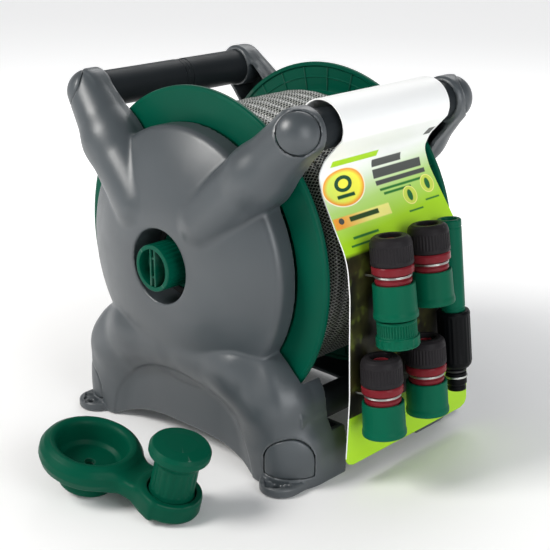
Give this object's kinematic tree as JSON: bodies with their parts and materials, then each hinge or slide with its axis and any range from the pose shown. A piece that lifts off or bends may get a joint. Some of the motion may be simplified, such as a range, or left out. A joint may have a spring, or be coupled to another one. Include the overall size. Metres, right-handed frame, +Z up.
{
  "type": "garden hose reel cart",
  "caption": "Compact floor-standing garden hose reel with carrying handles, crank, wound braided hose, and a card of hose-end fittings.",
  "frame": {"origin": "on the floor, at the centre of the four foot screw holes, under the middle of the reel axle", "axes": "+X towards the front, where the card of fittings hangs; +Y along the reel axle from the crank side to the water inlet; +Z up"},
  "size_m": [0.3285, 0.3758, 0.3045],
  "materials": {
    "frame_grey": "fine-textured moulded polypropylene, satin sheen",
    "handle_dark": "fine-textured moulded plastic, satin",
    "flange_green": "smooth moulded plastic, semi-gloss",
    "crank_green": "smooth moulded plastic, satin",
    "black_plastic": "moulded plastic, satin",
    "white_acetal": "smooth low-friction plastic",
    "steel": "zinc-plated",
    "seal_rubber": "soft matt rubber",
    "braided_hose": "clear soft PVC wall over a dark criss-cross textile braid",
    "printed_card": "coated card, printed",
    "nut_grey": "moulded plastic, satin, ribbed",
    "clear_red": "translucent tinted plastic",
    "sleeve_green": "smooth moulded plastic",
    "nozzle_green": "smooth moulded plastic",
    "tie_wire": "clear coated wire tie"
  },
  "bodies": {
    "frame": {"side_frame_left": "frame_grey", "side_frame_right": "frame_grey", "rear_handle_left": "handle_dark", "rear_handle_right": "handle_dark", "front_handle_left": "handle_dark", "front_handle_right": "handle_dark", "rear_beam": "handle_dark", "front_beam": "handle_dark", "horn_cap_front_left": "frame_grey", "horn_cap_rear_left": "frame_grey", "horn_cap_front_right": "frame_grey", "horn_cap_rear_right": "frame_grey", "foot_cap_front_left": "frame_grey", "foot_cap_rear_left": "frame_grey", "foot_cap_front_right": "frame_grey", "foot_cap_rear_right": "frame_grey", "handle_screws": "steel", "hub_bush_left": "black_plastic", "hub_bush_right": "black_plastic", "inlet_nipple": "black_plastic", "inlet_carrier": "crank_green", "inlet_seals": "seal_rubber", "display_card": "printed_card", "connector_1_core": "clear_red", "connector_2_core": "clear_red", "connector_3_core": "clear_red", "connector_4_core": "clear_red", "connector_seals": "seal_rubber", "nozzle_body": "black_plastic", "nozzle_stem": "white_acetal", "nozzle_seal": "seal_rubber", "card_ties": "tie_wire"},
    "reel": {"flange_left": "flange_green", "flange_right": "flange_green", "drum_core_left": "black_plastic", "drum_core_right": "black_plastic", "drum_screws": "steel", "crank_boss": "flange_green", "swivel_sleeve": "white_acetal", "outlet_elbow": "black_plastic", "hose_coil": "braided_hose", "hose_tie": "black_plastic"},
    "crank": {"crank_arm": "crank_green", "grip_pin": "steel"},
    "crank_grip": {"crank_grip": "crank_green"},
    "nozzle_tip": {"nozzle_tip": "nozzle_green"},
    "tap_adaptor": {"tap_nipple": "sleeve_green", "tap_collar": "sleeve_green", "tap_washer": "seal_rubber"},
    "connector_1_sleeve": {"connector_1_sleeve": "sleeve_green"},
    "connector_1_nut": {"connector_1_nut": "nut_grey"},
    "connector_2_sleeve": {"connector_2_sleeve": "sleeve_green"},
    "connector_2_nut": {"connector_2_nut": "nut_grey"},
    "connector_3_sleeve": {"connector_3_sleeve": "sleeve_green"},
    "connector_3_nut": {"connector_3_nut": "nut_grey"},
    "connector_4_sleeve": {"connector_4_sleeve": "sleeve_green"},
    "connector_4_nut": {"connector_4_nut": "nut_grey"}
  },
  "joints": [
    {"name": "reel_spin", "type": "hinge", "parent": "frame", "child": "reel", "pos_m": [0, 0, 0.163], "axis": [0, 1, 0], "continuous": true},
    {"name": "crank_lift", "type": "slide", "parent": "frame", "child": "crank", "axis": [0, 0, 1], "range_m": [0, 0.2]},
    {"name": "crank_grip_spin", "type": "hinge", "parent": "crank", "child": "crank_grip", "pos_m": [0.08078, -0.18654, 0.02582], "axis": [0.2357, 0.0544, 0.9703], "continuous": true},
    {"name": "sleeve_1_pull", "type": "slide", "parent": "frame", "child": "connector_1_sleeve", "axis": [-0.1305, 0, 0.9914], "range_m": [0, 0.003], "stiffness_N_per_m": 600, "springref_m": -0.001},
    {"name": "nut_1_turn", "type": "hinge", "parent": "frame", "child": "connector_1_nut", "pos_m": [0.16447, -0.038, 0.19157], "axis": [-0.1305, 0, 0.9914], "continuous": true},
    {"name": "sleeve_2_pull", "type": "slide", "parent": "frame", "child": "connector_2_sleeve", "axis": [-0.1392, 0, 0.9903], "range_m": [0, 0.003], "stiffness_N_per_m": 600, "springref_m": -0.001},
    {"name": "nut_2_turn", "type": "hinge", "parent": "frame", "child": "connector_2_nut", "pos_m": [0.16404, 0.0085, 0.19051], "axis": [-0.1392, 0, 0.9903], "continuous": true},
    {"name": "sleeve_3_pull", "type": "slide", "parent": "frame", "child": "connector_3_sleeve", "axis": [-0.0958, 0, 0.9954], "range_m": [0, 0.003], "stiffness_N_per_m": 600, "springref_m": -0.001},
    {"name": "nut_3_turn", "type": "hinge", "parent": "frame", "child": "connector_3_nut", "pos_m": [0.16821, -0.05, 0.09927], "axis": [-0.0958, 0, 0.9954], "continuous": true},
    {"name": "sleeve_4_pull", "type": "slide", "parent": "frame", "child": "connector_4_sleeve", "axis": [-0.0958, 0, 0.9954], "range_m": [0, 0.003], "stiffness_N_per_m": 600, "springref_m": -0.001},
    {"name": "nut_4_turn", "type": "hinge", "parent": "frame", "child": "connector_4_nut", "pos_m": [0.16821, 0.005, 0.09927], "axis": [-0.0958, 0, 0.9954], "continuous": true},
    {"name": "tap_adaptor_turn", "type": "hinge", "parent": "frame", "child": "tap_adaptor", "pos_m": [0.17231, -0.038, 0.13209], "axis": [-0.1305, 0, 0.9914], "continuous": true},
    {"name": "nozzle_twist", "type": "hinge", "parent": "frame", "child": "nozzle_tip", "pos_m": [0.16131, 0.0465, 0.14442], "axis": [-0.1132, 0, 0.9936], "range_deg": [0, 270]}
  ]
}
